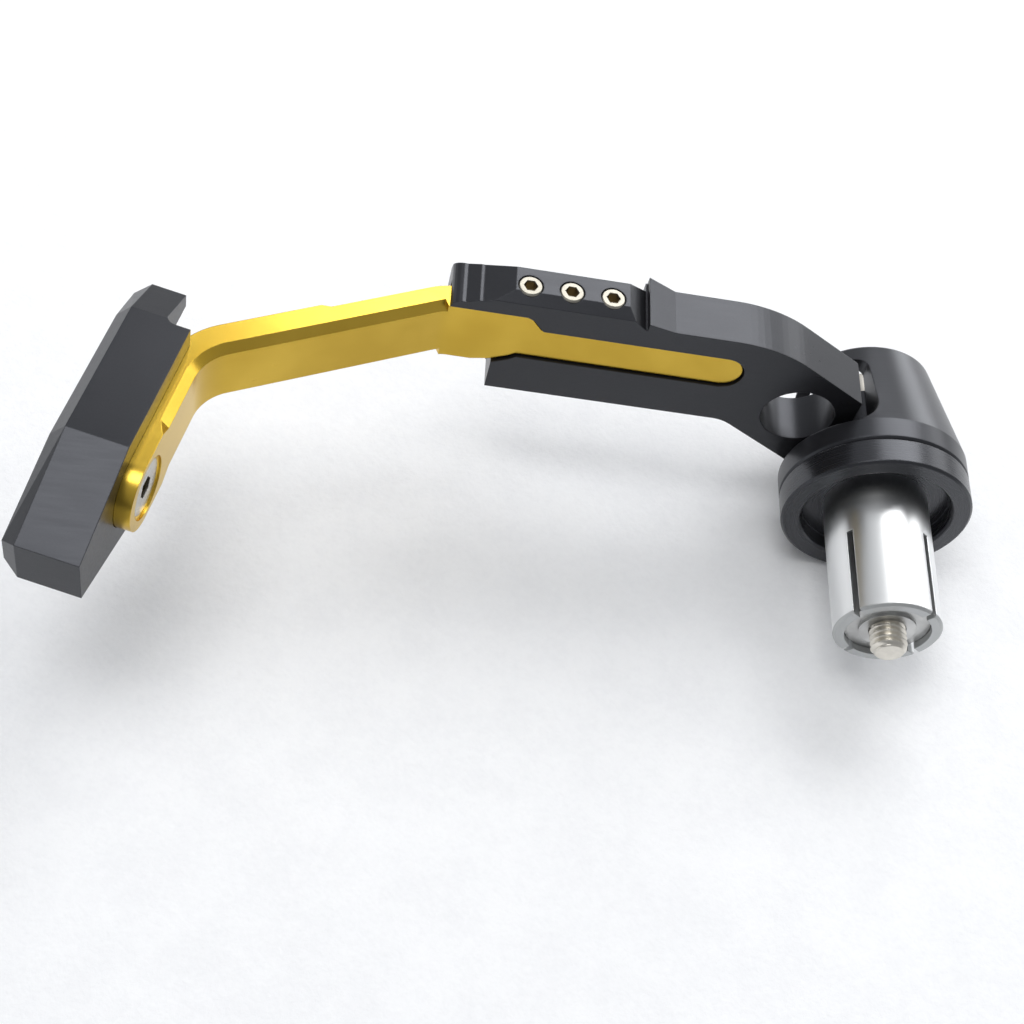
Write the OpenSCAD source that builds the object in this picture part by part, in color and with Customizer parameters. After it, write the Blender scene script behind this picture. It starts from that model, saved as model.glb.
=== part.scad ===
// Brake lever guard for a 22 mm handlebar: a slotted cone clamps in the bar end, a flat
// arm swings from it, and a bent bar slides in the arm with a forked tip at its end.
// The Y axis is the handlebar's: the sleeve points to -Y, the outer end of the cap to +Y.
// The arm runs to -X and the grub screws face +Z.

/* [Bar end] */
// Diameter of the seat ring and of the cap where they meet
ring_d = 32; // [30:0.5:40]
// Width of the seat ring
ring_w = 5; // [4:0.5:8]
// Diameter of the shallow recess that takes the handlebar's end
recess_d = 25.1; // [23:0.1:26]
// Depth of that recess
recess_depth = 3; // [1:0.25:3.5]
// Length of the straight band of the cap, next to the ring
band_w = 4; // [2:0.5:6]
// Length of the whole cap
cap_len = 23.4; // [21:0.2:30]
// Diameter of the cap's outer end
cap_end_d = 23.4; // [23:0.2:28]
// Rounding of the cap's outer edge
cap_round = 1; // [0.4:0.1:1.4]
// Bore of the cap, open at its outer end, that holds the arm's eye
cap_bore_d = 20; // [19.6:0.1:20.4]
// Wall left between the arm's window in the cap and the cap's outer end
cap_lip = 3.5; // [2.5:0.1:5]
// Distance from the axis to the edge of the window in the cap's side
window_x = 3.7; // [2:0.1:5]
// Small bevel on the ring, the cap and the sleeve
edge = 0.4; // [0.2:0.1:0.6]

/* [Expander] */
// Outer diameter of the slotted sleeve
sleeve_d = 17.6; // [16:0.1:19]
// Wall of the sleeve at its open end
sleeve_wall = 1.9; // [1.5:0.1:2.5]
// How far the sleeve stands out of the ring
sleeve_len = 22.7; // [16:0.1:30]
// Number of slots in the sleeve
slots = 4; // [3:1:6]
// Width of a slot
slot_w = 1.2; // [0.8:0.1:2]
// Length of a slot
slot_len = 15.5; // [10:0.5:20]
// Turn of the first slot round the axis
slot_turn = 53.75; // [0:1:90]
// Length of the cone nut
nut_len = 9; // [6:0.5:12]
// How far the cone nut's face lies inside the sleeve's end
nut_inset = 1.2; // [0.5:0.1:2]
// Slope of the cone nut and of its seat, in degrees
nut_slope = 7; // [4:0.5:10]

/* [Clamp bolt] */
// Diameter of the clamp bolt
bolt_d = 6; // [5:1:8]
// How far the bolt stands out of the sleeve's open end
bolt_out = 3.7; // [1:0.1:8]

/* [Arm] */
// Thickness of the arm where it holds the bar
holder_t = 10; // [9:0.1:12]
// Thickness of the arm's neck and eye
neck_t = 8.7; // [7:0.1:9]
// Width of the neck, and diameter of the eye
neck_w = 19; // [18:0.1:19.4]
// Slope of the neck, in degrees above the straight part
neck_angle = 31.5; // [25:0.5:36]
// Height of the arm's lower edge above the handlebar axis
arm_low = 6.3; // [4:0.1:8]
// Height of the arm's upper edge above the handlebar axis
arm_top = 26; // [25:0.1:28]
// Distance from the handlebar axis to the arm's outer end
arm_len = 77.4; // [76:0.1:85]
// Radius of the round hole through the neck
hole_r = 6.2; // [4:0.1:6.6]
// Distance of that hole from the handlebar axis, along the neck
hole_at = 19.3; // [18.5:0.1:22]
// Height of the screw boss above the arm's upper edge
boss_h = 2.3; // [1.5:0.1:4]
// Distance from the handlebar axis to the inner end of the boss
boss_at = 49.5; // [49:0.1:50]
// Length of the boss
boss_len = 18.2; // [17:0.1:19]

/* [Grub screws] */
// Number of grub screws
grubs = 3; // [2:1:3]
// Distance between the grub screws
grub_pitch = 6.6; // [5:0.1:7]
// Diameter of a grub screw
grub_d = 4; // [3:0.5:4]
// Hexagon socket of a grub screw, across flats
grub_hex = 2; // [1.5:0.1:2.2]

/* [Bar] */
// Thickness of the bar
bar_t = 4.8; // [4:0.1:5]
// Height of the bar outside the arm
bar_h = 12; // [11:0.1:13]
// Height of the tongue that lies in the arm
tongue_h = 6.4; // [5:0.1:7]
// How deep the bar lies below the arm's near face
bar_inset = 0.5; // [0.2:0.1:1]
// Distance from the handlebar axis to the round end of the tongue
tongue_at = 28.5; // [28:0.1:34]
// Distance from the handlebar axis to the bar's first bend
bend_at = 77.6; // [77:0.1:90]
// Inner radius of the first bend
first_r = 6; // [2:0.5:10]
// Angle of the first bend
bend_1 = 25; // [10:0.5:35]
// Length of the bar between its bends
span = 39.2; // [30:0.1:60]
// Direction of the tip, in degrees from the arm's straight part
tip_angle = 77; // [70:0.5:90]
// Inner radius of the bend at the tip
bend_r = 8; // [5:0.5:12]
// Bevel on the inner edges of the bar
bar_bevel = 1.3; // [0.6:0.1:1.6]
// Depth by which the grooved back lies under the plain back
back_step = 0.7; // [0.3:0.1:1]
// Distance along the span from the tip bend to the grooved back
step_at = 16; // [12:0.5:24]
// Depth of the grooves in the back
groove_depth = 0.7; // [0.3:0.1:0.9]
// Distance between the grooves
groove_pitch = 2; // [1.5:0.1:2.6]

/* [Tip block] */
// Distance from the tip bend's corner to the countersunk screw
screw_at = 21.5; // [18:0.1:30]
// Height of the tip block
tip_h = 19; // [17:0.1:22]
// Width of the tip block, inside to outside
tip_w = 11.8; // [9:0.1:14]
// Height of the tip block at its front end
tip_front_h = 8.2; // [6:0.1:12]
// Height of the tip block at its forked end
tip_fork_h = 12; // [11:0.1:16]
// Length from the screw to the front end
tip_front = 18; // [12:0.1:25]
// Length from the screw to the forked end
tip_back = 31; // [29:0.1:34]
// Width of the bevel along the outer edges of the tip block
tip_bevel = 2.4; // [1.5:0.1:3.6]
// Height of that bevel
tip_bevel_h = 3.1; // [1.5:0.1:4]
// Length of the fork's end that is cut back to clear the bar's bend
relief_len = 8.7; // [6:0.1:10]
// Depth of that cut
relief_depth = 4; // [3:0.1:5]
// Width of the fork's slot
fork_w = 7; // [5:0.1:8]
// Length from the screw to the round end of that slot
fork_at = 5; // [4.5:0.1:8]
// Depth of the pocket that seats the bar
seat_depth = 2.3; // [0.5:0.1:3]
// Diameter of the countersunk screw
tip_screw_d = 5; // [4:1:6]
// Diameter of its head
tip_head_d = 9.4; // [8:0.1:11]

/* [Clearances] */
// Gap between pieces that move on each other
slide_gap = 0.3; // [0.2:0.05:0.4]
// Gap round screws, spigots and seats
fit_gap = 0.1; // [0.05:0.05:0.15]

/* [Hidden] */
$fn = 72;

ring_r = ring_d / 2;
bolt_r = bolt_d / 2;
cap_end_r = cap_end_d / 2;
cap_y = ring_w + cap_len;
band_y = ring_w + band_w;
window_y0 = band_y;
window_y1 = cap_y - cap_lip;
window_r0 = 4.8;
window_r1 = 2.5;
floor_y = ring_w + 6;
arm_y = floor_y + slide_gap;
eye_r = neck_w / 2;
eye_y = arm_y + neck_t;
holder_y = arm_y + holder_t;
spigot_r = ring_r / 2;
spigot_h = 1.5;
sleeve_r = sleeve_d / 2;
sleeve_y = -sleeve_len;
nut_y = sleeve_y + nut_inset;
nut_r = sleeve_r - sleeve_wall;
nut_boss_r = 4.65;
sleeve_head = 5;
washer_t = 1.6;
washer_r = bolt_d;
washer_y = eye_y + fit_gap;
head_r = bolt_r * 5 / 3;
head_h = bolt_d;
head_hex = bolt_d * 5 / 6;
sin_n = sin(neck_angle);
cos_n = cos(neck_angle);
boss_end = boss_at + boss_len;
boss_top = arm_top + boss_h;
boss_mid_y = arm_y + holder_t * 0.45;
grub_r = grub_d / 2;
grub_x = boss_at + boss_len / 2 + 0.2;
bar_y = arm_y + bar_inset;
bar_z = (arm_low + arm_top) / 2 + 1.95;
slot_r = tongue_h / 2 + slide_gap;
slot_y = bar_y + bar_t + slide_gap;
grub_y = bar_y + bar_t - grub_r;
grub_tip_z = bar_z + slot_r;
tongue_x = tongue_at + tongue_h / 2;
shoulder_x = boss_end - 5.4;
shoulder_gap = 3.4;
near_end = arm_len - 8.4;
notch_x = boss_at - 3.5;
corner_x = bend_at + span * cos(bend_1);
corner_y = bar_y - span * sin(bend_1);
tip_turn = tip_angle - bend_1;
tip_tangent = bend_r * tan(tip_turn / 2);
bar_end_r = bar_h / 2;
screw_x = corner_x + screw_at * cos(tip_angle);
screw_y = corner_y - screw_at * sin(tip_angle);
block_y = seat_depth - bar_t;
head_sink = 0.4;
fork_c = fork_at + fork_w / 2;
end_shift = 0.8;

// Points on an arc of radius r round c, from angle a to angle b
function arc(c, r, a, b, steps) =
    [for (i = [0:steps]) let (t = a + (b - a) * i / steps) [c[0] + r * cos(t), c[1] + r * sin(t)]];

// Unit vector along the bar, and the one that points to its inner side, at a turn of a
function along(a) = [-cos(a), -sin(a)];
function inner(a) = [sin(a), -cos(a)];

// Points on a bend of the bar: centre c, radius r, from turn a to turn b
function bend(c, r, a, b, steps) =
    [for (i = [0:steps]) c - r * inner(a + (b - a) * i / steps)];

// A flat outline drawn in X and Z, as thick as from y0 to y1
module plate(y0, y1) {
    translate([0, y1, 0])
        rotate([90, 0, 0])
            linear_extrude(y1 - y0)
                children();
}

// A round bar or cone on the Y axis, from y0 to y1
module rod(y0, y1, r0, r1) {
    translate([0, y0, 0])
        rotate([-90, 0, 0])
            cylinder(h = y1 - y0, r1 = r0, r2 = r1);
}

// A turned piece on the Y axis; the outline's points are radius and Y
module turned() {
    rotate([-90, 0, 0])
        rotate_extrude()
            children();
}

// Hexagon key socket, across flats w, from y0 to y1
module key_socket(y0, y1, w) {
    translate([0, y0, 0])
        rotate([-90, 0, 0])
            cylinder(h = y1 - y0, r = w / sqrt(3), $fn = 6);
}

// Outline of the window in the cap's side, in X and Y, with its two rounded corners
module window_outline() {
    far = -ring_r - 2;
    polygon(concat(
        [[far, window_y0]],
        arc([-window_x - window_r0, window_y0 + window_r0], window_r0, -90, 0, 10),
        arc([-window_x - window_r1, window_y1 - window_r1], window_r1, 0, 90, 8),
        [[far, window_y1]]));
}

// Conical cap with the window that the arm swings in
module bar_end_cap() {
    slope = atan((ring_r - cap_end_r) / (cap_len - band_w));
    color([0.10, 0.10, 0.11])
        difference() {
            turned()
                polygon(concat(
                    [[0, ring_w], [ring_r - edge, ring_w], [ring_r, ring_w + edge], [ring_r, band_y]],
                    arc([cap_end_r - cap_round, cap_y - cap_round], cap_round, slope, 90, 8),
                    [[0, cap_y]]));
            rod(floor_y, cap_y + 1, cap_bore_d / 2, cap_bore_d / 2);
            rod(cap_y - edge, cap_y + 0.01, cap_bore_d / 2, cap_bore_d / 2 + edge);
            rod(0, floor_y + 1, bolt_r + fit_gap, bolt_r + fit_gap);
            rod(ring_w - 1, ring_w + spigot_h + fit_gap, spigot_r + fit_gap, spigot_r + fit_gap);
            translate([0, 0, -ring_r - 1])
                linear_extrude(ring_d + 2)
                    window_outline();
        }
}

// Ring that seats on the handlebar's end
module seat_ring() {
    color([0.09, 0.09, 0.10])
        difference() {
            union() {
                turned()
                    polygon([[0, 0], [ring_r - edge, 0], [ring_r, edge],
                             [ring_r, ring_w - edge], [ring_r - edge, ring_w], [0, ring_w]]);
                rod(ring_w, ring_w + spigot_h, spigot_r, spigot_r);
            }
            rod(-1, recess_depth, recess_d / 2, recess_d / 2);
            rod(-0.01, edge, recess_d / 2 + edge, recess_d / 2);
            rod(-1, ring_w + spigot_h + 1, bolt_r + fit_gap, bolt_r + fit_gap);
        }
}

// Slotted sleeve that spreads inside the handlebar
module expander_sleeve() {
    seat_y = nut_y + nut_len;
    seat_r = nut_r - nut_len * tan(nut_slope);
    color([0.80, 0.81, 0.82])
        difference() {
            turned()
                polygon([[0, sleeve_y], [sleeve_r - edge, sleeve_y], [sleeve_r, sleeve_y + edge],
                         [sleeve_r, recess_depth], [0, recess_depth]]);
            rod(sleeve_y - 1, nut_y, nut_r + fit_gap, nut_r + fit_gap);
            rod(nut_y - 0.01, seat_y, nut_r + fit_gap, seat_r + fit_gap);
            rod(seat_y - 0.01, recess_depth - sleeve_head, seat_r + fit_gap, seat_r + fit_gap);
            rod(recess_depth - sleeve_head - 1, recess_depth + 1, bolt_r + fit_gap, bolt_r + fit_gap);
            for (i = [0:slots - 1])
                rotate([0, -slot_turn - i * 360 / slots, 0])
                    translate([0, sleeve_y - 1, -slot_w / 2])
                        cube([sleeve_r + 1, slot_len + 1, slot_w]);
        }
}

// Cone nut that the bolt draws into the sleeve, with a raised collar
module cone_nut() {
    color([0.74, 0.75, 0.76])
        difference() {
            union() {
                rod(nut_y, nut_y + nut_len, nut_r, nut_r - nut_len * tan(nut_slope));
                rod(nut_y - nut_inset / 2, nut_y + 1, nut_boss_r, nut_boss_r);
            }
            rod(sleeve_y - 1, 0, bolt_r + fit_gap / 2, bolt_r + fit_gap / 2);
        }
}

// Clamp bolt, its socket head bearing on the arm's eye through the washer
module clamp_bolt() {
    head_y = washer_y + washer_t;
    tip_y = sleeve_y - bolt_out;
    color([0.72, 0.71, 0.68])
        difference() {
            union() {
                rod(tip_y + edge, head_y + 1, bolt_r, bolt_r);
                rod(tip_y, tip_y + edge, bolt_r - edge, bolt_r);
                rod(head_y, head_y + head_h - edge, head_r, head_r);
                rod(head_y + head_h - edge, head_y + head_h, head_r, head_r - edge);
            }
            key_socket(head_y + head_h / 2, head_y + head_h + 1, head_hex);
        }
}

// Washer under the bolt's head
module clamp_washer() {
    color([0.70, 0.70, 0.68])
        difference() {
            rod(washer_y, washer_y + washer_t, washer_r, washer_r);
            rod(washer_y - 1, washer_y + washer_t + 1, bolt_r + fit_gap, bolt_r + fit_gap);
        }
}

// Where the neck's edge line, dist from the axis, meets the height z
function neck_meets(dist, z) = (dist / cos_n - z) / (sin_n / cos_n);

// Part of the side view that the cap's wall fills, so that the arm stays out of it
module cap_wall_side() {
    difference() {
        translate([-window_x - shoulder_gap, 0])
            square(ring_d);
        circle(eye_r);
    }
}

// Side outline of the arm, in X and Z, from the eye round to its outer end
module arm_outline() {
    top_r = 25;
    low_r = 6;
    half = neck_angle / 2;
    top_x = neck_meets(eye_r, arm_top);
    low_x = neck_meets(-eye_r, arm_low);
    polygon(concat(
        arc([0, 0], eye_r, -90 - neck_angle, 90 - neck_angle, 32),
        arc([top_x - top_r * tan(half), arm_top - top_r], top_r, 90 - neck_angle, 90, 12),
        [[-boss_at + 8, arm_top], [-notch_x, arm_top + 1], [-notch_x, arm_top - 0.5],
         [-notch_x - 0.3, arm_top - 0.5], [-boss_at, boss_top], [-boss_end, boss_top]],
        arc([-boss_end - 5, arm_top + 1.7], 1, -60, -110, 4),
        arc([-arm_len + 1.8, arm_top - 1.8], 1.8, 75, 180, 6),
        [[-arm_len, bar_z - 4], [-near_end, arm_low]],
        arc([low_x - low_r * tan(half), arm_low - low_r], low_r, 90, 90 - neck_angle, 6)));
}

// Plan of the arm, in X and Y: full thickness at the holder, thinner at the neck
module arm_plan() {
    polygon([[-arm_len - 5, arm_y], [eye_r + 5, arm_y], [eye_r + 5, eye_y],
             [-notch_x + 4.5, eye_y], [-notch_x, holder_y], [-arm_len - 5, holder_y]]);
}

// Section of the bevel along the boss's near edge, in Y and Z
module boss_near_bevel() {
    polygon([[arm_y - 1, boss_top + 1], [arm_y - 1, boss_top - 1.5], [arm_y, boss_top - 1],
             [arm_y + 2, boss_top], [arm_y + 2, boss_top + 1]]);
}

// Section of the bevel along the back of the boss and the outer end, in Y and Z
module boss_back_bevel() {
    polygon([[holder_y - 3.2, boss_top + 1], [holder_y - 3.2, boss_top],
             [holder_y, boss_top - 6], [holder_y + 1, boss_top - 7], [holder_y + 1, boss_top + 1]]);
}

// A section in Y and Z, drawn out along X from x0 to x1
module along_arm(x0, x1) {
    translate([x0, 0, 0])
        rotate([90, 0, 90])
            linear_extrude(x1 - x0)
                children();
}

// Side outline of the bar, in X and Z, from the tongue out: it widens over two shoulders
module bar_side(grow) {
    far = 2 * arm_len;
    low_1 = bar_z - tongue_h / 2 - grow;
    low_2 = bar_z - bar_h / 2 - grow;
    top_1 = bar_z + tongue_h / 2 + grow;
    top_2 = bar_z + bar_h / 2 + grow;
    x = -shoulder_x + grow;
    polygon([[-tongue_x, low_1], [x - 3.2, low_1], [x - 4.4, low_1 - 0.9], [x - 6.9, low_2 + 0.7],
             [x - 10, low_2], [-far, low_2], [-far, top_2], [x - 3, top_2], [x - 1.8, top_2 - 0.6],
             [x, top_1], [-tongue_x, top_1]]);
}

// Space for the bar in the arm, and the part of its near side that is cut away outside it
module bar_slot() {
    plate(arm_y - 1, slot_y)
        bar_side(slide_gap);
    translate([-tongue_x, 0, bar_z])
        rod(arm_y - 1, slot_y, slot_r, slot_r);
    translate([-arm_len - 1, arm_y - 1, arm_low - 1])
        cube([arm_len + 1 - near_end, slot_y - arm_y + 1, bar_z - arm_low + 1]);
}

// Flat arm: eye and neck in the cap, slot for the bar, boss for the grub screws
module guard_arm() {
    color([0.10, 0.10, 0.11])
        difference() {
            intersection() {
                plate(arm_y, holder_y)
                    difference() {
                        arm_outline();
                        cap_wall_side();
                    }
                translate([0, 0, -eye_r - 1])
                    linear_extrude(boss_top + eye_r + 2)
                        arm_plan();
            }
            along_arm(-arm_len - 1, eye_r)
                boss_near_bevel();
            along_arm(-arm_len - 1, -notch_x - 0.3)
                boss_back_bevel();
            bar_slot();
            rod(arm_y - 1, eye_y + 1, bolt_r + fit_gap / 2, bolt_r + fit_gap / 2);
            translate([-hole_at * cos_n, 0, hole_at * sin_n])
                rod(arm_y - 1, eye_y + 1, hole_r, hole_r);
            for (i = [0:grubs - 1])
                translate([-grub_x - (i - (grubs - 1) / 2) * grub_pitch, grub_y, grub_tip_z - 1])
                    cylinder(h = boss_top - grub_tip_z + 2, r = grub_r + fit_gap / 2);
        }
}

// A grub screw with a hexagon socket, its top in line with the boss, its tip at the height z
module grub_screw(i, z) {
    h = boss_top - z;
    translate([-grub_x - (i - (grubs - 1) / 2) * grub_pitch, grub_y, z])
        difference() {
            union() {
                cylinder(h = 0.9, r1 = grub_r - 0.9, r2 = grub_r);
                translate([0, 0, 0.9])
                    cylinder(h = h - 1.15, r = grub_r);
                translate([0, 0, h - 0.25])
                    cylinder(h = 0.25, r1 = grub_r, r2 = grub_r - 0.25);
            }
            translate([0, 0, h - 2])
                cylinder(h = 3, r = grub_hex / sqrt(3), $fn = 6);
        }
}

// Long grub screws, over the bar's tongue
module grub_screws() {
    color([0.70, 0.68, 0.62])
        for (i = [0:grubs - 2])
            grub_screw(i, grub_tip_z);
}

// Short grub screw, over the full height of the bar
module edge_grub_screw() {
    color([0.70, 0.68, 0.62])
        grub_screw(grubs - 1, bar_z + bar_h / 2 + slide_gap);
}

// The bar's bends: inner corner point and the turns before and after it
first_c = [-bend_at + first_r * tan(bend_1 / 2), bar_y] + first_r * inner(0);
tip_c = [-corner_x, corner_y] - tip_tangent * along(bend_1) + bend_r * inner(bend_1);
tip_start = [-corner_x, corner_y] + tip_tangent * along(tip_angle);
screw_c = [-screw_x, screw_y];
bar_end_c = screw_c + end_shift * along(tip_angle);

// Plan of the bar, in X and Y, without its round ends
module bar_plan() {
    outer_2 = bend_r + bar_t;
    step_c = [-corner_x, corner_y] - (step_at + tip_tangent) * along(bend_1) - bar_t * inner(bend_1);
    polygon(concat(
        [[-tongue_x, bar_y]],
        bend(first_c, first_r, 0, bend_1, 6),
        bend(tip_c, bend_r, bend_1, tip_angle, 14),
        [bar_end_c, bar_end_c - bar_t * inner(tip_angle)],
        bend(tip_c, outer_2, tip_angle, bend_1, 14),
        [step_c, step_c - 1.5 * along(bend_1) + back_step * inner(bend_1)],
        bend(first_c, first_r + bar_t - back_step, bend_1, 0, 6),
        [[-boss_end, bar_y + bar_t - back_step], [-boss_end + 2, bar_y + bar_t],
         [-tongue_x, bar_y + bar_t]]));
}

// Bevel along the bar's upper inner edge, as the solid that it takes away
module edge_bevel() {
    c = bar_bevel;
    top = bar_z + bar_h / 2;
    run_1 = span - tip_tangent;
    // along the span
    translate([-bend_at, bar_y, top])
        rotate([0, 0, 180 + bend_1])
            rotate([90, 0, 90])
                linear_extrude(run_1)
                    polygon([[-c - 0.5, 0.5], [-c, 0], [0, -c], [0.5, -c - 0.5], [1, 1]]);
    // round the tip bend
    translate([tip_c[0], tip_c[1], top])
        rotate_extrude()
            polygon([[bend_r - 1, -c - 1], [bend_r + c + 0.5, 0.5], [bend_r - 1, 0.5]]);
    // along the tip
    translate([tip_start[0], tip_start[1], top])
        rotate([0, 0, 180 + tip_angle])
            rotate([90, 0, 90])
                linear_extrude(screw_at - tip_tangent)
                    polygon([[-c - 0.5, 0.5], [-c, 0], [0, -c], [0.5, -c - 0.5], [1, 1]]);
}

// Long grooves in the back of the bar, along the stretch between its bends
module back_grooves() {
    run = span - tip_tangent - step_at - 2;
    n = floor((bar_h / 2 - 0.6) / groove_pitch);
    back = bar_t - back_step;
    for (i = [-n:n])
        translate([-bend_at, bar_y, bar_z + i * groove_pitch])
            rotate([0, 0, 180 + bend_1])
                translate([-1, -back, 0])
                    rotate([90, 0, 90])
                        linear_extrude(run + 1)
                            polygon([[groove_depth, 0], [-0.2, groove_depth + 0.2], [-0.2, -groove_depth - 0.2]]);
}

// Flat bar: tongue in the arm, two bends, grooved back, round end under the screw
module slide_bar() {
    color([0.86, 0.66, 0.10])
        difference() {
            union() {
                intersection() {
                    translate([0, 0, bar_z - bar_h / 2])
                        linear_extrude(bar_h)
                            bar_plan();
                    plate(-arm_len, holder_y)
                        bar_side(0);
                }
                translate([-tongue_x, 0, bar_z])
                    rod(bar_y, bar_y + bar_t, tongue_h / 2, tongue_h / 2);
                translate([screw_c[0], screw_c[1], bar_z])
                    rotate([0, 0, 180 + tip_angle])
                        translate([end_shift, 0, 0])
                            rod(-bar_t, 0, bar_end_r, bar_end_r);
            }
            edge_bevel();
            translate([0, 0, 2 * bar_z])
                mirror([0, 0, 1])
                    edge_bevel();
            back_grooves();
            tip_screw_space(fit_gap);
        }
}

// The countersunk screw's own space, grown by gap; its head lies below the bar's inner face
module tip_screw_space(gap) {
    r = tip_screw_d / 2;
    head = tip_head_d / 2;
    translate([screw_c[0], screw_c[1], bar_z])
        rotate([0, 0, 180 + tip_angle]) {
            rod(-2 * tip_screw_d - gap, 1, r + gap / 2, r + gap / 2);
            rod(r - head - head_sink, -head_sink, r + gap / 2, head + gap);
            rod(-head_sink - 0.01, 0.5, head + 3 * gap, head + 3 * gap);
        }
}

// Countersunk screw that fixes the tip block to the bar
module tip_screw() {
    r = tip_screw_d / 2;
    head = tip_head_d / 2;
    color([0.78, 0.78, 0.76])
        translate([screw_c[0], screw_c[1], bar_z])
            rotate([0, 0, 180 + tip_angle])
                difference() {
                    union() {
                        rod(-2 * tip_screw_d, -head_sink - 1, r, r);
                        rod(r - head - head_sink, -head_sink - 0.2, r, head - 0.2);
                        rod(-head_sink - 0.2, -head_sink, head - 0.2, head - 0.3);
                    }
                    key_socket(-head_sink - tip_screw_d / 2, 1, tip_screw_d * 0.64);
                }
}

// Side outline of the tip block, along its length and in height, smaller by inset
module tip_outline(inset) {
    z = tip_h / 2 - inset;
    f = tip_front_h / 2 - inset * 0.6;
    k = tip_fork_h / 2 - inset * 0.6;
    e = inset * 0.4;
    polygon([[-tip_back + e, -k], [-tip_back + e, k], [-tip_back + 8, z], [0.6, z],
             [tip_front - e, f], [tip_front - e, -f], [0.6, -z], [-tip_back + 8, -z]]);
}

// Outline of the cut at the forked end, along the length and in width, with a rounded corner
module tip_relief() {
    r = 1.5;
    x = -tip_back + relief_len;
    y = block_y - relief_depth;
    polygon(concat(
        [[-tip_back - 1, y]],
        arc([x - r, y + r], r, -90, 0, 6),
        [[x, block_y + 1], [-tip_back - 1, block_y + 1]]));
}

// Forked tip block: outer edges bevelled, slot open at the bend, pocket for the bar
module tip_block() {
    out_y = block_y - tip_w;
    pocket_h = bar_h / 2 + fit_gap;
    color([0.11, 0.11, 0.12])
        difference() {
            translate([screw_c[0], screw_c[1], bar_z])
                rotate([0, 0, 180 + tip_angle])
                    difference() {
                        hull() {
                            plate(out_y + tip_bevel, block_y)
                                tip_outline(0);
                            plate(out_y, out_y + 0.1)
                                tip_outline(tip_bevel_h);
                        }
                        plate(out_y - 1, block_y + 1)
                            polygon(concat(
                                [[-tip_back - 1, fork_w / 2], [-tip_back - 1, -fork_w / 2]],
                                arc([-fork_c, 0], fork_w / 2, -90, 90, 16)));
                        translate([0, 0, -tip_h])
                            linear_extrude(2 * tip_h)
                                tip_relief();
                        translate([-tip_back - 1, block_y - seat_depth, -pocket_h])
                            cube([tip_back + 1 + end_shift, seat_depth + 1, 2 * pocket_h]);
                        translate([end_shift, 0, 0])
                            rod(block_y - seat_depth, block_y + 1, pocket_h, pocket_h);
                    }
            tip_screw_space(fit_gap);
        }
}

bar_end_cap();
seat_ring();
expander_sleeve();
cone_nut();
clamp_bolt();
clamp_washer();
guard_arm();
grub_screws();
edge_grub_screw();
slide_bar();
tip_block();
tip_screw();
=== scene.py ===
# %% [markdown]
# # A brake lever guard in black and gold
# The guard is clamped in the end of a handlebar and keeps the brake lever from being
# pushed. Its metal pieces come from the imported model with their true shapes, so this
# lesson gives them their finishes, finishes the bar's end, cuts the bolt's thread, and
# sets light and camera.

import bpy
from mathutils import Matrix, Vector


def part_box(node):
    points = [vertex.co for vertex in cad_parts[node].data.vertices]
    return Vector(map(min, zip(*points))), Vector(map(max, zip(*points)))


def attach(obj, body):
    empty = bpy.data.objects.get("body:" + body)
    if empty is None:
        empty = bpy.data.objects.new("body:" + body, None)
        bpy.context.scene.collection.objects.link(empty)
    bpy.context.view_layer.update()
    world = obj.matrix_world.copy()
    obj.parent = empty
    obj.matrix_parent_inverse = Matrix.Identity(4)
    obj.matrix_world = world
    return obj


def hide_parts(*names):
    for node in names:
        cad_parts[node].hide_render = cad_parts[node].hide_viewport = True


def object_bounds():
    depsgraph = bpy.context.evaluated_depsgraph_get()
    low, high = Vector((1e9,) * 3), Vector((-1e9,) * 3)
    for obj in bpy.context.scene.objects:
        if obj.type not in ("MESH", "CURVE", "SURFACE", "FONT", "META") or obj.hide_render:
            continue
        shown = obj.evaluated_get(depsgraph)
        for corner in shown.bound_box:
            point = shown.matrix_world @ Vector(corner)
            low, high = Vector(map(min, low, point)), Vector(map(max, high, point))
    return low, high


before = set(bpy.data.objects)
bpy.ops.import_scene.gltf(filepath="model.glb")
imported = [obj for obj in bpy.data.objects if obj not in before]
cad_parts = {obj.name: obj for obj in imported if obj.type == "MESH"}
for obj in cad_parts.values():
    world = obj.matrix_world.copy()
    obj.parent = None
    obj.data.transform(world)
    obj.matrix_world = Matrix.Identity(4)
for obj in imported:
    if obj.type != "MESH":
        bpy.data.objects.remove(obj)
cad_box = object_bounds()
print("pieces:", ", ".join(sorted(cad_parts)))

# %% Tools for the rest of the lesson
import math

import bmesh
import bpy
from mathutils import Matrix, Vector

MM = 0.001
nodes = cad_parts
scene = bpy.context.scene

# %% [markdown]
# A material is a small program. Written as a web of nodes it is hard to read, so one
# class wraps a socket and lets it be added, multiplied and compared like a number. Its
# method `make` adds any other node: settings first, then the values of its sockets.


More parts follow.
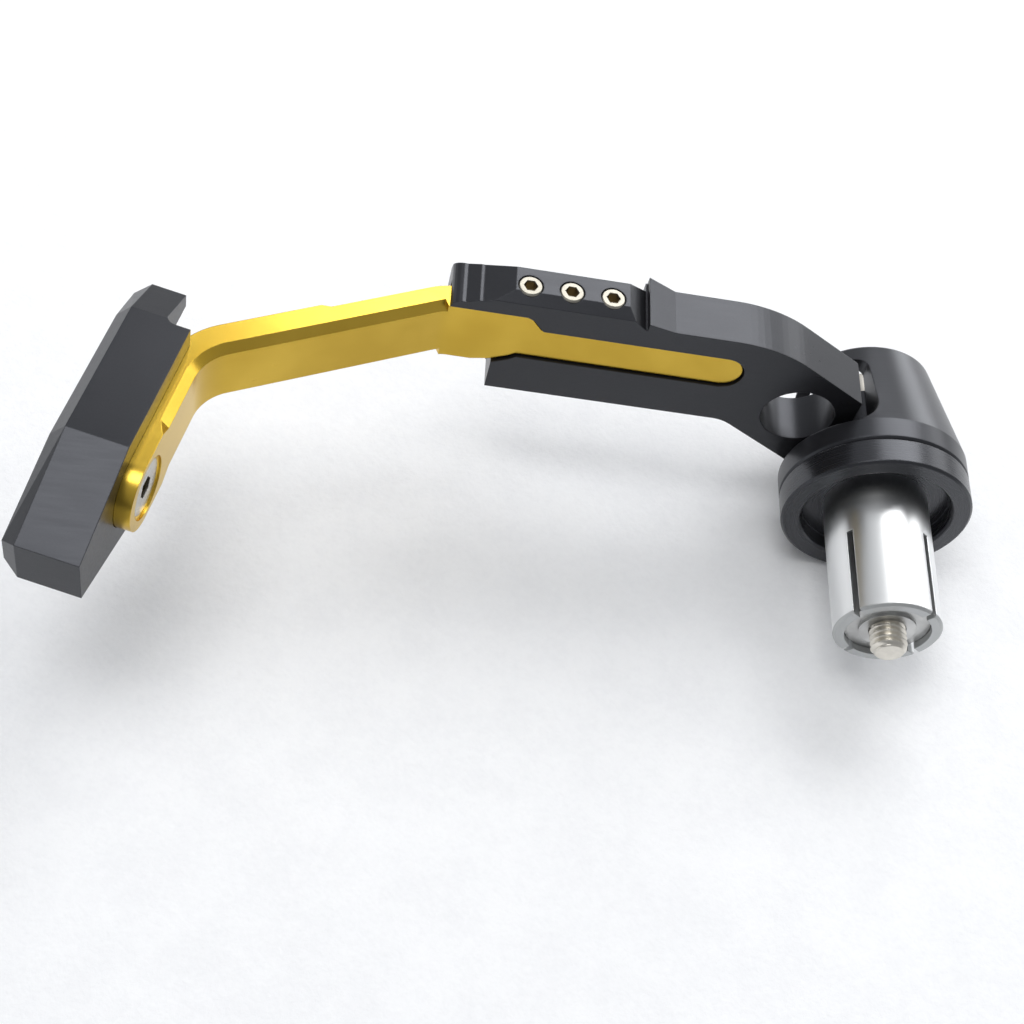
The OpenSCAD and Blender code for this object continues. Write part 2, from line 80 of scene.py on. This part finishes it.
# %% Shader maths as expressions
class Wire:
    """A shader socket that works like a number, or the start of a tree when it has none."""

    def __init__(self, tree, socket=None):
        self.tree = tree
        self.socket = socket

    def make(self, kind, settings=None, inputs=None, out=0):
        node = self.tree.nodes.new(kind)
        for key, value in (settings or {}).items():
            setattr(node, key, value)
        for key, value in (inputs or {}).items():
            if isinstance(value, Wire):
                self.tree.links.new(value.socket, node.inputs[key])
            else:
                node.inputs[key].default_value = value
        return Wire(self.tree, node.outputs[out])

    def math(self, operation, first, second):
        return self.make("ShaderNodeMath", {"operation": operation}, {0: first, 1: second})

    def __add__(self, other):
        return self.math("ADD", self, other)

    def __radd__(self, other):
        return self.math("ADD", other, self)

    def __sub__(self, other):
        return self.math("SUBTRACT", self, other)

    def __rsub__(self, other):
        return self.math("SUBTRACT", other, self)

    def __mul__(self, other):
        return self.math("MULTIPLY", self, other)

    def __rmul__(self, other):
        return self.math("MULTIPLY", other, self)

    def __pow__(self, other):
        return self.math("POWER", self, other)

    def step(self, low, high):
        """0 below low, 1 above high, and a smooth rise between them."""
        return self.make("ShaderNodeMapRange", {"interpolation_type": "SMOOTHSTEP"},
                         {"Value": self, "From Min": low, "From Max": high})

    def blend(self, dark, light):
        """The colour dark where this is 0, and light where it is 1."""
        colours = [(*colour, 1) if isinstance(colour, tuple) else colour
                   for colour in (dark, light)]
        return self.make("ShaderNodeMix", {"data_type": "RGBA"},
                         {0: self, 6: colours[0], 7: colours[1]}, out=2)


print("sockets can be added and multiplied")


# %% [markdown]
# Every metal here shares the same bones: a base colour, a roughness, a fine relief and
# softened edges. Real edges are never perfectly sharp, and the thin glint on them is
# what makes a milled piece look real. The Bevel node rounds the shading at each edge.

# %% One starting point for all finishes
EDGE = 0.22 * MM


def start_finish(name):
    """A new material: returns it, its first wire, the place on the object, and its shader."""
    material = bpy.data.materials.new(name)
    material.use_nodes = True
    tree = material.node_tree
    shader = tree.nodes["Principled BSDF"]
    wire = Wire(tree)
    place = wire.make("ShaderNodeTexCoord", out="Object")
    return material, wire, place, shader


def plug(shader, **values):
    """Sets the shader's sockets: a wire is linked and a number or colour is set."""
    for name, value in values.items():
        socket = shader.inputs[name.replace("_", " ")]
        if isinstance(value, Wire):
            value.tree.links.new(value.socket, socket)
        else:
            socket.default_value = (*value, 1) if isinstance(value, tuple) else value


def relief(wire, height, depth, strength=0.5, edge=EDGE):
    """A normal with softened edges and a relief of the given depth."""
    soft = wire.make("ShaderNodeBevel", {"samples": 4}, {"Radius": edge})
    return wire.make("ShaderNodeBump", inputs={"Height": height, "Distance": depth,
                                               "Strength": strength, "Normal": soft})


def speckle(wire, place, size, detail=2.0, rough=0.5):
    """Noise whose blobs are about size metres across."""
    return wire.make("ShaderNodeTexNoise", inputs={"Vector": place, "Scale": 1 / size,
                                                   "Detail": detail, "Roughness": rough})


def mill_lines(wire, place, size, stretch, turn=0.0):
    """Noise drawn out into lines along X, or along a direction turned from it."""
    drawn_out = wire.make("ShaderNodeMapping", {"vector_type": "POINT"},
                          {"Vector": place, "Rotation": (0, 0, turn), "Scale": (stretch, 1, 1)})
    return speckle(wire, drawn_out, size)


def distance_along(wire, place, direction):
    """How far the place lies along a direction, in metres."""
    return wire.make("ShaderNodeVectorMath", {"operation": "DOT_PRODUCT"},
                     {0: place, 1: direction}, out="Value")


print("edge radius", EDGE / MM, "mm")

# %% [markdown]
# Black anodising is a thin dyed skin on aluminium. The skin is glassy and hides the metal,
# so it is not a metal to the shader: it is a nearly black base under a clear gloss, whose
# sheen is a little blue. The arm and the tip block were milled and then blasted, which
# leaves a fine grain, and the mill's lines still show faintly through it.

# %% Black, milled and blasted
BLACK_DEEP = (0.0075, 0.0075, 0.0088)
BLACK_WORN = (0.0150, 0.0150, 0.0168)
BLACK_SHEEN = (0.88, 0.91, 1.0)
BLASTED_CLOUD = 22 * MM
BLASTED_GRAIN = 0.35 * MM
BLASTED_LINES = 0.5 * MM
BLASTED_STRETCH = 0.05
BLASTED_DEPTH = 0.02 * MM
TIP_TURN = math.radians(77)


def black_milled(name, line_turn, rough=0.27):
    material, wire, place, shader = start_finish(name)
    cloud = speckle(wire, place, BLASTED_CLOUD, 3)
    grain = speckle(wire, place, BLASTED_GRAIN, 3, 0.6)
    lines = mill_lines(wire, place, BLASTED_LINES, BLASTED_STRETCH, line_turn)
    wear = (0.35 * grain + 0.65 * cloud).step(0.3, 0.75)
    plug(shader,
         Base_Color=wear.blend(BLACK_DEEP, BLACK_WORN),
         Roughness=rough + 0.08 * cloud + 0.10 * (lines - 0.5),
         Specular_IOR_Level=0.54,
         Specular_Tint=BLACK_SHEEN,
         Normal=relief(wire, 0.6 * grain + 0.4 * lines, BLASTED_DEPTH))
    print("finish", name)
    return material


arm_black = black_milled("arm_black", 0.0)
block_black = black_milled("block_black", -TIP_TURN, 0.30)

# %% [markdown]
# The cap and the ring were turned on a lathe before they were anodised. Turning leaves
# very fine rings round the axis, which pull each highlight into a long soft streak. The
# rings are noise that changes only with the distance from the axis and along it.

# %% Black, turned
TURNED_CLOUD = 16 * MM
RING_PITCH = 0.28 * MM
RING_DEPTH = 0.010 * MM
TURNED_EDGE = 0.3 * MM


def axis_places(wire, place):
    """The distance from the Y axis, and the place along it."""
    parts = wire.make("ShaderNodeSeparateXYZ", inputs={0: place})
    x, y, z = [Wire(wire.tree, parts.socket.node.outputs[i]) for i in range(3)]
    return (x * x + z * z) ** 0.5, y


def ring_lines(wire, radius, along, size):
    """Noise in rings round the Y axis: it changes with the radius and along the axis."""
    across = wire.make("ShaderNodeCombineXYZ", inputs={0: radius, 1: along})
    return speckle(wire, across, size, 3, 0.55)


def black_turned(name, rough=0.24):
    material, wire, place, shader = start_finish(name)
    cloud = speckle(wire, place, TURNED_CLOUD)
    rings = ring_lines(wire, *axis_places(wire, place), RING_PITCH)
    plug(shader,
         Base_Color=(0.5 * rings + 0.5 * cloud).step(0.3, 0.75).blend(BLACK_DEEP, BLACK_WORN),
         Roughness=rough + 0.10 * rings + 0.05 * cloud,
         Specular_IOR_Level=0.65,
         Specular_Tint=BLACK_SHEEN,
         Normal=relief(wire, rings, RING_DEPTH, edge=TURNED_EDGE))
    print("finish", name)
    return material


cap_black = black_turned("cap_black")
ring_black = black_turned("ring_black", 0.20)

# %% [markdown]
# The bar is gold anodised, which is a clear yellow dye over bright milled metal, so here
# the reflection itself is coloured. Fine mill lines run along the bar, and their direction
# has to follow its bends. So there are two sets of lines, one for the stretch in the arm
# and one for the stretch between the bends, and the place along the bar picks one.

# %% Gold, milled
GOLD_DEEP = (0.62, 0.405, 0.052)
GOLD_LIGHT = (0.72, 0.485, 0.070)
GOLD_CLOUD = 14 * MM
GOLD_GRAIN = 0.25 * MM
GOLD_LINES = 0.35 * MM
GOLD_STRETCH = 0.04
GOLD_DEPTH = 0.008 * MM
GOLD_EDGE = 0.15 * MM
SPAN_TURN = math.radians(25)
BEND_X = -77.6 * MM
BEND_BLUR = 0.5 * MM


def gold_milled(name):
    material, wire, place, shader = start_finish(name)
    cloud = speckle(wire, place, GOLD_CLOUD, 3)
    grain = speckle(wire, place, GOLD_GRAIN)
    straight = mill_lines(wire, place, GOLD_LINES, GOLD_STRETCH)
    sloping = mill_lines(wire, place, GOLD_LINES, GOLD_STRETCH, -SPAN_TURN)
    along_x = distance_along(wire, place, (1, 0, 0))
    in_arm = along_x.step(BEND_X - BEND_BLUR, BEND_X + BEND_BLUR)
    lines = in_arm * straight + (1 - in_arm) * sloping
    plug(shader,
         Base_Color=cloud.step(0.35, 0.7).blend(GOLD_DEEP, GOLD_LIGHT),
         Metallic=1.0,
         Roughness=0.17 + 0.08 * cloud + 0.07 * lines,
         Normal=relief(wire, 0.5 * lines + 0.5 * grain, GOLD_DEPTH, edge=GOLD_EDGE))
    print("finish", name)
    return material


bar_gold = gold_milled("bar_gold")

# %% [markdown]
# The sleeve is bare turned aluminium, bright along its side. Its sawn end is frosted, so
# the finish changes where the turned side stops: the distance from the axis and the place
# along it tell the two apart, and no second material is needed.

# %% Bare aluminium
SLEEVE_END = -22.3 * MM
SLEEVE_SIDE = 8.5 * MM
SIDE_BLUR = 0.4 * MM
END_BLUR = 0.3 * MM
SLEEVE_CLOUD = 6 * MM
SLEEVE_RINGS = 0.30 * MM
SLEEVE_EDGE = 0.2 * MM
ALUMINIUM_BRIGHT = (0.84, 0.85, 0.85)
ALUMINIUM_SAWN = (0.50, 0.51, 0.51)


def bare_aluminium(name):
    material, wire, place, shader = start_finish(name)
    radius, along = axis_places(wire, place)
    rings = ring_lines(wire, radius, along, SLEEVE_RINGS)
    cloud = speckle(wire, place, SLEEVE_CLOUD, 3)
    outside = radius.step(SLEEVE_SIDE - SIDE_BLUR, SLEEVE_SIDE)
    side = outside * along.step(SLEEVE_END, SLEEVE_END + END_BLUR)
    plug(shader,
         Base_Color=side.blend(ALUMINIUM_SAWN, ALUMINIUM_BRIGHT),
         Metallic=1.0,
         Roughness=0.46 - 0.22 * side + 0.08 * rings + 0.05 * cloud,
         Normal=relief(wire, rings, RING_DEPTH, edge=SLEEVE_EDGE))
    print("finish", name)
    return material


sleeve_metal = bare_aluminium("sleeve_metal")

# %% [markdown]
# The screws and the nut are nickel plated steel. Inside their key sockets the colour is a
# painted shade, a dull dark bronze that starts just below the face that the socket is in.

# %% Plated steel
# Painted shade inside the key sockets: its tone, and the depths below the face where it is full
# and where it starts.
SOCKET_SHADE_TONE = (0.36, 0.30, 0.19)
SOCKET_SHADE_FULL_DEPTH = 0.5 * MM
SOCKET_SHADE_START_DEPTH = 0.3 * MM
PLATED_CLOUD = 3 * MM
PLATED_GRAIN = 0.15 * MM
PLATED_DEPTH = 0.006 * MM
PLATED_EDGE = 0.12 * MM


def plated_steel(name, tone, rough, face=None):
    """Plated steel; face is the direction and height of the face that the key socket is in, and
    the socket below that face is given a painted shade.
    """
    material, wire, place, shader = start_finish(name)
    cloud = speckle(wire, place, PLATED_CLOUD, 3)
    grain = speckle(wire, place, PLATED_GRAIN)
    colour = cloud.step(0.3, 0.7).blend(tuple(0.8 * part for part in tone), tone)
    if face:
        direction, height = face
        depth = distance_along(wire, place, direction)
        # Painted shade: the colour turns dark bronze just below the face that the socket is in.
        above_socket_shade = depth.step(height - SOCKET_SHADE_FULL_DEPTH, height - SOCKET_SHADE_START_DEPTH)
        colour = above_socket_shade.blend(SOCKET_SHADE_TONE, colour)
    plug(shader,
         Base_Color=colour,
         Metallic=1.0,
         Roughness=rough + 0.12 * (cloud - 0.5) + 0.06 * grain,
         Normal=relief(wire, grain, PLATED_DEPTH, edge=PLATED_EDGE))
    print("finish", name)
    return material


bar_inner = Vector((math.sin(TIP_TURN), -math.cos(TIP_TURN), 0))
screw_face = max(bar_inner.dot(point.co) for point in nodes["tip_screw"].data.vertices)
grub_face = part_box("grub_screws")[1][2]
nut_metal = plated_steel("nut_metal", (0.60, 0.60, 0.59), 0.34)
bolt_metal = plated_steel("bolt_metal", (0.80, 0.765, 0.69), 0.30)
grub_metal = plated_steel("grub_metal", (0.37, 0.35, 0.30), 0.36, ((0, 0, 1), grub_face))
tip_metal = plated_steel("tip_metal", (0.60, 0.585, 0.55), 0.24, (tuple(bar_inner), screw_face))

# %% [markdown]
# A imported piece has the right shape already, so it only needs its finish, which goes into
# its material slots. A table from piece to finish keeps this in one place.

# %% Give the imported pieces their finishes
FINISHES = {
    "bar_end_cap": cap_black,
    "seat_ring": ring_black,
    "expander_sleeve": sleeve_metal,
    "cone_nut": nut_metal,
    "clamp_washer": bolt_metal,
    "guard_arm": arm_black,
    "grub_screws": grub_metal,
    "edge_grub_screw": grub_metal,
    "tip_block": block_black,
    "tip_screw": tip_metal,
}
for name, material in FINISHES.items():
    piece = nodes[name]
    for index in range(max(1, len(piece.material_slots))):
        if not piece.material_slots:
            piece.data.materials.append(material)
        piece.material_slots[index].material = material
print("dressed", len(FINISHES), "pieces")

# %% [markdown]
# The bar's bevels have to run out before the screw, so that a full rim stands round its
# head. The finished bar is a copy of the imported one. Two wedges fill the ends of its
# bevels, and the shallow seat of the screw's head is then cut through them again.

# %% The bar's end, measured from the screw
BAR_HALF = 6.0 * MM
BEVEL = 1.3 * MM
SCREW_CENTRE = Vector((-117.963, -25.716, 18.1)) * MM
SEAT_RADIUS = 5.0 * MM
SEAT_DEPTH = 0.41 * MM
SEAT_SIDES = 72
RUN_OUT_START = -7.8 * MM
RUN_OUT_END = -5.4 * MM
OVERLAP = 0.5 * MM
ROOT_INWARD = BEVEL + 0.6 * MM
ROOT_DOWN = 0.8 * MM
tip_along = Vector((-math.cos(TIP_TURN), -math.sin(TIP_TURN), 0))


def tip_point(along, inward, height):
    """A point given from the screw's centre: along the tip, out of its inner face, and up."""
    return SCREW_CENTRE + tip_along * along + bar_inner * inward + Vector((0, 0, height))


def place_piece(name, form):
    """Turns a bmesh into an object in the scene."""
    mesh = bpy.data.meshes.new(name)
    form.to_mesh(mesh)
    form.free()
    piece = bpy.data.objects.new(name, mesh)
    scene.collection.objects.link(piece)
    return piece


def closed_form(name, points):
    """The convex form round some points, as an object."""
    form = bmesh.new()
    for point in points:
        form.verts.new(point)
    bmesh.ops.convex_hull(form, input=form.verts)
    bmesh.ops.recalc_face_normals(form, faces=form.faces)
    return place_piece(name, form)


def bevel_end(name, side):
    """The wedge that ends a bevel; side is 1 at the upper edge and -1 at the lower one."""
    top, low = side * BAR_HALF, side * (BAR_HALF - BEVEL)
    root = side * (BAR_HALF - ROOT_DOWN)
    points = [tip_point(RUN_OUT_END, 0, top), tip_point(OVERLAP, 0, top)]
    for along in (RUN_OUT_START, OVERLAP):
        points += [tip_point(along, -BEVEL, top), tip_point(along, 0, low),
                   tip_point(along, -ROOT_INWARD, root)]
    return closed_form(name, points)


def screw_seat():
    """The shallow round seat that the screw's head lies in."""
    angles = [2 * math.pi * step / SEAT_SIDES for step in range(SEAT_SIDES)]
    return closed_form("screw_seat", [
        tip_point(SEAT_RADIUS * math.cos(angle), inward, SEAT_RADIUS * math.sin(angle))
        for angle in angles for inward in (-SEAT_DEPTH, OVERLAP)])


print("screw at", [round(part / MM, 1) for part in SCREW_CENTRE], "mm")

# %% [markdown]
# Curved faces are made of many flat ones. Smooth shading hides that, but it also blurs
# true edges, so each edge that turns by more than a set angle is marked as sharp.

# %% Smooth shading that keeps true edges
SHARP_ANGLE = math.radians(32)
WELD = 0.001 * MM


def smooth_form(form):
    """Smooth shading, with every edge left sharp that turns by more than SHARP_ANGLE."""
    for edge in form.edges:
        edge.smooth = len(edge.link_faces) == 2 and edge.calc_face_angle() < SHARP_ANGLE
    for face in form.faces:
        face.smooth = True


print("edges stay sharp above", round(math.degrees(SHARP_ANGLE)), "degrees")

# %% The finished bar
finished_bar = bpy.data.objects.new("finished_bar", nodes["slide_bar"].data.copy())
scene.collection.objects.link(finished_bar)
tools = [(bevel_end("upper_end", 1), "UNION"), (bevel_end("lower_end", -1), "UNION"),
         (screw_seat(), "DIFFERENCE")]
for tool, operation in tools:
    cut = finished_bar.modifiers.new(tool.name, "BOOLEAN")
    cut.object = tool
    cut.operation = operation
    cut.solver = "EXACT"
graph = bpy.context.evaluated_depsgraph_get()
worked = bpy.data.meshes.new_from_object(finished_bar.evaluated_get(graph))
finished_bar.modifiers.clear()
for tool, _ in tools:
    bpy.data.objects.remove(tool)
form = bmesh.new()
form.from_mesh(worked)
bmesh.ops.remove_doubles(form, verts=form.verts, dist=WELD)
smooth_form(form)
form.to_mesh(worked)
form.free()
finished_bar.data = worked
finished_bar.data.materials.clear()
finished_bar.data.materials.append(bar_gold)
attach(finished_bar, "slider")
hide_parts("slide_bar")
print("finished bar:", len(worked.polygons), "faces")

# %% [markdown]
# The clamp bolt shows its thread where it stands out of the cone nut. A thread is one
# profile that travels along a helix, so the mesh can be a grid that goes round and along
# the bolt: the radius of a point depends only on where it is in the thread's pitch. The
# plain shank, the head and its key socket are more rows of the same grid.

# %% One turn of a thread
PITCH = 1.0 * MM
CREST = 3.0 * MM
ROOT = 2.4 * MM
FLAT_ROOT = 0.12
FLANKS = 0.76
LEAD_IN = 0.8 * MM
LEAD_DEPTH = 0.15 * MM
AROUND = 48


def thread_radius(along, turn, start):
    """Radius of the thread at a place along the axis, and at a turn from 0 to 1 round it."""
    phase = (along / PITCH - turn) % 1.0
    rise = (abs(phase - 0.5) * 2 - FLAT_ROOT) / FLANKS
    radius = ROOT + (CREST - ROOT) * min(1.0, max(0.0, rise))
    start_radius = ROOT - LEAD_DEPTH
    pointed = start_radius + (CREST - start_radius) * min(1.0, (along - start) / LEAD_IN)
    return min(radius, pointed)


def hexagon_radius(turn, across):
    """Distance from the centre to the side of a hexagon, at a turn from 0 to 1."""
    angle = (turn * 6 % 1.0 - 0.5) * math.pi / 3
    return across / 2 / math.cos(angle)


print("thread", CREST / MM, "x", PITCH / MM)

# %% The rows of the bolt
bolt_low, bolt_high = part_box("clamp_bolt")
bolt_start, bolt_top = bolt_low[1], bolt_high[1]
head_radius = (bolt_high[0] - bolt_low[0]) / 2
head_height = 2 * CREST
key_across = head_radius
THREAD_LENGTH = 15 * MM
ROWS_A_PITCH = 14
HEAD_BREAK = 0.3 * MM
HEAD_SHOULDER = 0.5 * MM
turns = [step / AROUND for step in range(AROUND)]
bolt_rows = []
row_count = int(THREAD_LENGTH / PITCH * ROWS_A_PITCH)
for row in range(row_count + 1):
    place = bolt_start + THREAD_LENGTH * row / row_count
    bolt_rows.append((place, [thread_radius(place, turn, bolt_start) for turn in turns]))
head_rows = [
    (CREST, head_height),
    (head_radius - HEAD_BREAK, head_height),
    (head_radius, head_height - HEAD_BREAK),
    (head_radius, HEAD_SHOULDER),
    (head_radius - HEAD_BREAK / 2, HEAD_BREAK / 2),
    (head_radius - HEAD_SHOULDER, 0),
]
for radius, back in head_rows:
    bolt_rows.append((bolt_top - back, [radius] * AROUND))
for back in (0, head_height / 2):
    bolt_rows.append((bolt_top - back, [hexagon_radius(turn, key_across) for turn in turns]))
print(len(bolt_rows), "rows")

# %% The bolt's mesh


def ringed_piece(name, rows, metal):
    """A closed piece on the Y axis; each row is its place and the radius at every turn."""
    form = bmesh.new()
    grid = [[form.verts.new((radius * math.cos(2 * math.pi * turn), place,
                             radius * math.sin(2 * math.pi * turn)))
             for turn, radius in zip(turns, radii)] for place, radii in rows]
    for low, high in zip(grid, grid[1:]):
        for step in range(AROUND):
            after = (step + 1) % AROUND
            form.faces.new((low[step], high[step], high[after], low[after]))
    form.faces.new(grid[0])
    form.faces.new(list(reversed(grid[-1])))
    bmesh.ops.recalc_face_normals(form, faces=form.faces)
    smooth_form(form)
    piece = place_piece(name, form)
    piece.data.materials.append(metal)
    return piece


threaded_bolt = ringed_piece("threaded_bolt", bolt_rows, bolt_metal)
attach(threaded_bolt, "bar_end")
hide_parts("clamp_bolt")
print("threaded bolt:", len(threaded_bolt.data.polygons), "faces")

# %% [markdown]
# The photograph was taken from above and to the left of the handlebar's end, with the
# camera turned a little about its own axis. The guard keeps the frame that it mounts in,
# so the camera carries the whole tilt of the picture.

# %% Camera
AZIMUTH = math.radians(12.83)
ELEVATION = math.radians(54.51)
ROLL = math.radians(18.14)
EYE = Vector((-96.5, -162.8, 221.7)) * MM
LENS = 59.1
SENSOR = 36
SHIFT = -0.006

ahead = Vector((math.sin(AZIMUTH) * math.cos(ELEVATION),
                math.cos(AZIMUTH) * math.cos(ELEVATION), -math.sin(ELEVATION)))
level = Vector((math.cos(AZIMUTH), -math.sin(AZIMUTH), 0))
above = level.cross(ahead)
right = level * math.cos(ROLL) + above * math.sin(ROLL)
up = above * math.cos(ROLL) - level * math.sin(ROLL)

lens = bpy.data.cameras.new("camera")
lens.lens = LENS
lens.sensor_width = SENSOR
lens.clip_start = 10 * MM
lens.shift_x = SHIFT
camera = bpy.data.objects.new("camera", lens)
scene.collection.objects.link(camera)
camera.matrix_world = Matrix((
    (right.x, up.x, -ahead.x, EYE.x),
    (right.y, up.y, -ahead.y, EYE.y),
    (right.z, up.z, -ahead.z, EYE.z),
    (0, 0, 0, 1)))
scene.camera = camera
print("camera", [round(part / MM) for part in EYE], "mm")

# %% [markdown]
# The guard lies on white felt under soft daylight. The felt is a plane with a fine
# fibrous relief. It is kept level and just under the lowest point of the guard.

# %% Floor
FELT_DEEP = (0.905, 0.91, 0.925)
FELT_LIGHT = (0.96, 0.965, 0.975)
FIBRES = 1.3 * MM
TUFTS = 9 * MM
FELT_DEPTH = 0.6 * MM
FLOOR_HALF = 1.5
FLOOR_GAP = 0.4 * MM


def felt():
    material, wire, place, shader = start_finish("felt")
    fibres = speckle(wire, place, FIBRES, 6, 0.7)
    tufts = speckle(wire, place, TUFTS, 3, 0.6)
    height = fibres * 0.6 + tufts * 0.4
    plug(shader,
         Base_Color=(0.5 * fibres + 0.5 * tufts).step(0.3, 0.7).blend(FELT_DEEP, FELT_LIGHT),
         Roughness=1.0,
         Specular_IOR_Level=0.1,
         Normal=wire.make("ShaderNodeBump", inputs={"Height": height, "Distance": FELT_DEPTH,
                                                    "Strength": 0.35}))
    return material


low = cad_box[0][2] - FLOOR_GAP
corners = [(x * FLOOR_HALF, y * FLOOR_HALF, low) for x, y in ((-1, -1), (1, -1), (1, 1), (-1, 1))]
floor_mesh = bpy.data.meshes.new("floor")
floor_mesh.from_pydata(corners, [], [(0, 1, 2, 3)])
floor_mesh.materials.append(felt())
floor = bpy.data.objects.new("floor", floor_mesh)
scene.collection.objects.link(floor)
print("floor at", round(low / MM, 1), "mm")

# %% [markdown]
# Metal shows what stands around it, so the room matters as much as the lamps. It is an
# even, rather dim white room, dimmest behind the camera, which gives the gold its brown
# bevels. Against it stand a few bright windows. The top faces mirror the large one that is
# behind the guard, and the sloping faces of the tip mirror the one overhead. The low one
# on the right draws the long streak on the turned cap, and the fainter one at the side
# lights the bevel beside the tip and the right of the sleeve.

# %% The room
ROOM_TONE = (0.95, 0.97, 1.0)
ROOM_DIM = 0.30
ROOM_FAR = 0.16
ROOM_ABOVE = 0.14
world = bpy.data.worlds.new("room")
scene.world = world
world.use_nodes = True
room = Wire(world.node_tree)
toward = room.make("ShaderNodeTexCoord", out="Generated")
overhead = distance_along(room, toward, (0, 0, 1)).step(0.1, 0.9)
far_side = distance_along(room, toward, (0, 1, 0)).step(-0.8, 0.2)
plug(world.node_tree.nodes["Background"], Color=ROOM_TONE,
     Strength=ROOM_DIM + ROOM_FAR * far_side + ROOM_ABOVE * overhead)
print("room ready")

# %% Windows
CENTRE = Vector((-0.06, 0.0, 0.01))
WHITE = (1, 1, 1)
COOL_WHITE = (0.97, 0.985, 1.0)


def window(name, direction, distance, width, height, radiance, tint=WHITE):
    """A soft window that shines on the guard; radiance is its brightness when looked at."""
    light = bpy.data.lights.new(name, "AREA")
    light.shape = "RECTANGLE"
    light.size = width
    light.size_y = height
    light.energy = radiance * math.pi * width * height
    light.color = tint
    lamp = bpy.data.objects.new(name, light)
    outward = Vector(direction).normalized()
    lamp.location = CENTRE + outward * distance
    lamp.rotation_euler = (-outward).to_track_quat("-Z", "Y").to_euler()
    scene.collection.objects.link(lamp)


window("window_behind", (0.27, 0.66, 0.72), 0.85, 0.56, 0.38, 4.7)
window("window_overhead", (-0.28, -0.02, 0.95), 0.80, 0.38, 0.38, 4.6)
window("window_right", (0.58, 0.80, 0.16), 0.90, 0.26, 0.24, 4.0, COOL_WHITE)
window("window_side", (0.82, 0.45, 0.33), 0.90, 0.56, 0.30, 2.0)
scene.view_settings.view_transform = "Standard"
